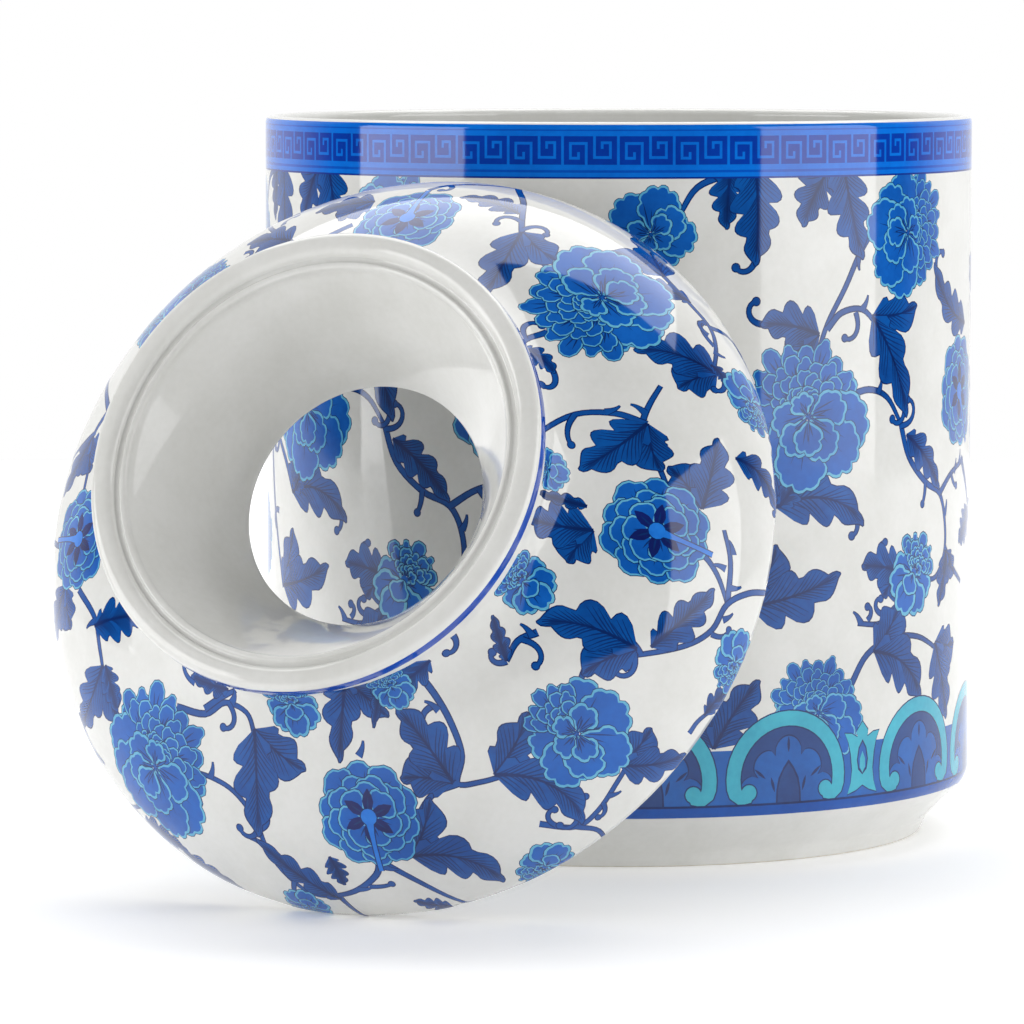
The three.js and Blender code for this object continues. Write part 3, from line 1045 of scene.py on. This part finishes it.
def glaze(name, light, dark, roughness=0.06, mottle=700.0, gloss=1.52):
    """A glazed finish whose colour drifts between two tones, with the faint ripple of a fired glaze."""
    material = bpy.data.materials.new(name)
    material.use_nodes = True
    nodes, links = material.node_tree.nodes, material.node_tree.links
    shader = nodes["Principled BSDF"]
    shader.inputs["Roughness"].default_value = roughness
    shader.inputs["IOR"].default_value = gloss
    place = nodes.new("ShaderNodeTexCoord")
    grain, drift, ripple = (nodes.new("ShaderNodeTexNoise") for _ in range(3))
    for noise, scale, detail in ((grain, mottle, 3.0), (drift, mottle / 9, 2.0), (ripple, RIPPLE_SCALE, 1.0)):
        noise.inputs["Scale"].default_value = scale
        noise.inputs["Detail"].default_value = detail
        links.new(place.outputs["Object"], noise.inputs["Vector"])
    both = nodes.new("ShaderNodeMath")
    both.operation = "MULTIPLY_ADD"
    both.inputs[1].default_value = 0.45
    blend = nodes.new("ShaderNodeMapRange")
    blend.inputs["From Min"].default_value = 0.5
    blend.inputs["From Max"].default_value = 0.95
    tone = nodes.new("ShaderNodeMix")
    tone.data_type = "RGBA"
    tone.inputs[6].default_value = (*light, 1)
    tone.inputs[7].default_value = (*dark, 1)
    links.new(grain.outputs["Fac"], both.inputs[0])
    links.new(drift.outputs["Fac"], both.inputs[2])
    links.new(both.outputs[0], blend.inputs["Value"])
    links.new(blend.outputs["Result"], tone.inputs[0])
    links.new(tone.outputs[2], shader.inputs["Base Color"])
    bump = nodes.new("ShaderNodeBump")
    bump.inputs["Strength"].default_value = RIPPLE_STRENGTH
    bump.inputs["Distance"].default_value = RIPPLE_DEPTH
    links.new(ripple.outputs["Fac"], bump.inputs["Height"])
    links.new(bump.outputs["Normal"], shader.inputs["Normal"])
    return material


def from_screen(code):
    """Scene colour of a #rrggbb screen colour."""
    channels = [int(code[k:k + 2], 16) / 255 for k in (1, 3, 5)]
    return tuple(c / 12.92 if c <= 0.04045 else ((c + 0.055) / 1.055) ** 2.4 for c in channels)


TONES = {
    "white": ("#d9d9d6", "#d1d1cd"),
    "petal": ("#105eb6", "#064c9e"),
    "pale": ("#66b0cc", "#4494be"),
    "ink": ("#062a66", "#041e50"),
    "vein": ("#073272", "#05285c"),
    "leaf": ("#08519e", "#053e84"),
    "stem": ("#0f4f9c", "#094086"),
    "star": ("#0e2068", "#0a1850"),
    "knob": ("#247cd8", "#1666c4"),
    "turquoise": ("#3cacc2", "#2e98b2"),
    "indigo": ("#103f80", "#0c3472"),
    "cobalt": ("#085cae", "#044c98"),
    "stripe": ("#0c50a8", "#084496"),
    "band_light": ("#046ed4", "#0260c4"),
    "band_dark": ("#0050b8", "#0046a8"),
    "band_line": ("#06328c", "#042a7c"),
    "fret": ("#0038a0", "#003090"),
    "lip_line": ("#1449ac", "#0e3c98"),
}


def make_finishes():
    finishes = {}
    for name, (light, dark) in TONES.items():
        finishes[name] = glaze("glaze_" + name, from_screen(light), from_screen(dark))
    finishes["bisque"] = glaze("bisque", from_screen("#dcd8cf"), from_screen("#cbc6ba"), 0.75, 1400.0, 1.45)
    return finishes


# ---------------- floor, lights and camera

FLOOR_SIZE = 2.2


def make_floor():
    steps = 8
    side = np.linspace(-FLOOR_SIZE / 2, FLOOR_SIZE / 2, steps + 1)
    corners = [(x, y, 0.0) for y in side for x in side]
    quads = []
    for j in range(steps):
        for i in range(steps):
            k = j * (steps + 1) + i
            quads.append((k, k + 1, k + steps + 2, k + steps + 1))
    mesh = bpy.data.meshes.new("floor")
    mesh.from_pydata(corners, [], quads)
    floor = bpy.data.objects.new("floor", mesh)
    bpy.context.scene.collection.objects.link(floor)
    material = bpy.data.materials.new("floor_paper")
    material.use_nodes = True
    shader = material.node_tree.nodes["Principled BSDF"]
    shader.inputs["Base Color"].default_value = (0.93, 0.93, 0.93, 1)
    shader.inputs["Roughness"].default_value = 0.6
    shader.inputs["Specular IOR Level"].default_value = 0.2
    shader.inputs["Emission Color"].default_value = (1, 1, 1, 1)
    shader.inputs["Emission Strength"].default_value = 0.2
    mesh.materials.append(material)


def softbox(name, place, target, width, tall, radiance):
    """A panel that faces the target and that the camera doesn't see."""
    light = bpy.data.lights.new(name, "AREA")
    light.shape = "RECTANGLE"
    light.size, light.size_y = width, tall
    light.energy = radiance * math.pi * width * tall
    lamp = bpy.data.objects.new(name, light)
    lamp.location = place
    lamp.rotation_euler = (target - place).to_track_quat("-Z", "Y").to_euler()
    lamp.visible_camera = False
    bpy.context.scene.collection.objects.link(lamp)


PANEL_LIGHT = 2.8
LEFT_LIGHT = 3.9
PANEL_DISTANCE = 1.3
ROOM_LIGHT = 0.48
ROOM_DARK = 0.05


def make_lights(aim):
    """A tall panel at each side and one overhead, towards the back, in a dim room with a white back wall."""
    for name, azimuth, width, tall, rise, radiance in (
        ("panel_left", -69, 0.95, 1.1, 0.0, LEFT_LIGHT),
        ("panel_right", 67, 1.05, 1.5, 0.1, PANEL_LIGHT),
    ):
        a = math.radians(azimuth)
        side = Vector((math.sin(a), -math.cos(a), 0)) * PANEL_DISTANCE
        softbox(name, aim + side + Vector((0, 0, rise)), aim + Vector((0, 0, rise)), width, tall, radiance)
    above = aim + Vector((0.05, 0.62, 1.2))
    softbox("panel_above", above, above - Vector((0, 0, 1)), 1.7, 1.15, PANEL_LIGHT)
    world = bpy.data.worlds.new("studio")
    world.use_nodes = True
    nodes, links = world.node_tree.nodes, world.node_tree.links
    nodes.clear()
    page, room, pick = (nodes.new("ShaderNode" + kind) for kind in ("Background", "Background", "MixShader"))
    place, split, level = (nodes.new("ShaderNode" + kind) for kind in ("TexCoord", "SeparateXYZ", "MapRange"))
    seen, out = nodes.new("ShaderNodeLightPath"), nodes.new("ShaderNodeOutputWorld")
    strength = nodes.new("ShaderNodeMix")
    strength.inputs[2].default_value = ROOM_LIGHT
    page.inputs["Color"].default_value = (1, 1, 1, 1)
    room.inputs["Color"].default_value = (1, 1, 1, 1)
    level.interpolation_type = "SMOOTHSTEP"
    level.inputs["From Min"].default_value = 0.2
    level.inputs["From Max"].default_value = 0.7
    level.inputs["To Min"].default_value = ROOM_DARK
    level.inputs["To Max"].default_value = 1.0
    links.new(place.outputs["Generated"], split.inputs[0])
    links.new(split.outputs["Y"], level.inputs["Value"])
    links.new(seen.outputs["Is Glossy Ray"], strength.inputs[0])
    links.new(level.outputs["Result"], strength.inputs[3])
    links.new(strength.outputs[0], room.inputs["Strength"])
    links.new(seen.outputs["Is Camera Ray"], pick.inputs[0])
    links.new(room.outputs[0], pick.inputs[1])
    links.new(page.outputs[0], pick.inputs[2])
    links.new(pick.outputs[0], out.inputs["Surface"])
    bpy.context.scene.world = world
    bpy.context.scene.view_settings.view_transform = "Standard"


CAMERA_DISTANCE = 1.338
CAMERA_PITCH = math.radians(4.64)
AIM_HEIGHT = 0.080
AIM_LEFT = 0.01804
AIM_DOWN = 0.00633
LENS = 206.2


def make_camera(jar_axis):
    """A long lens from the front and a little above, aimed left of the jar so that both pieces show."""
    ahead = Vector((0, math.cos(CAMERA_PITCH), -math.sin(CAMERA_PITCH)))
    right = Vector((1, 0, 0))
    up = right.cross(ahead)
    camera = bpy.data.objects.new("camera", bpy.data.cameras.new("camera"))
    camera.location = Vector((jar_axis.x, jar_axis.y, AIM_HEIGHT)) - ahead * CAMERA_DISTANCE
    aim = ahead - right * AIM_LEFT - up * AIM_DOWN
    camera.rotation_euler = aim.to_track_quat("-Z", "Y").to_euler()
    camera.data.lens = LENS
    camera.data.sensor_width = 36
    camera.data.clip_start = 0.05
    bpy.context.scene.collection.objects.link(camera)
    bpy.context.scene.camera = camera


# ---------------- putting it together

def jar_matrix():
    low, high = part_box("jar")
    return Matrix.Translation(((low.x + high.x) / 2, (low.y + high.y) / 2, 0))


def top_matrix():
    """The top's own frame: the middle of its base, found from the node's box and the way it leans."""
    turn = Matrix.Rotation(-LEAN_SIDE, 4, "Z") @ Matrix.Rotation(LEAN_ANGLE, 4, "X")
    axis = turn.to_3x3() @ Vector((0, 0, 1))
    low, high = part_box("shoulder_top")
    reaches = [(BELLY_RADIUS, BELLY_HEIGHT), (LIP_RADIUS, LIP_SHOULDER), (LIP_CREST, LIP_TOP),
               (RING_RADIUS - RING_EDGE, -RING_DEPTH), (RING_RADIUS, RING_EDGE - RING_DEPTH),
               (SEAT_RADIUS, 0)]
    for a in np.radians(np.arange(0, 45, 4.5)):
        reaches.append((BELLY_RADIUS * math.cos(a), BELLY_HEIGHT + DOME_RISE * math.sin(a)))
    base = Vector()
    for k in range(3):
        side = math.sqrt(1 - axis[k] ** 2)
        far = max(h * axis[k] + r * side for r, h in reaches)
        near = min(h * axis[k] - r * side for r, h in reaches)
        base[k] = (low[k] + high[k] - (far + near) * MM) / 2
    return Matrix.Translation(base) @ turn


finishes = make_finishes()

jar = jar_piece().mesh_object("porcelain_jar", jar_matrix(), finishes)
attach(jar, "jar_body")
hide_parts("jar")

top = top_piece().mesh_object("porcelain_top", top_matrix(), finishes)
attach(top, "top_body")
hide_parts("shoulder_top")

jar_axis = jar_matrix().translation
make_floor()
make_lights(jar_axis + Vector((0, 0, AIM_HEIGHT)))
make_camera(jar_axis)
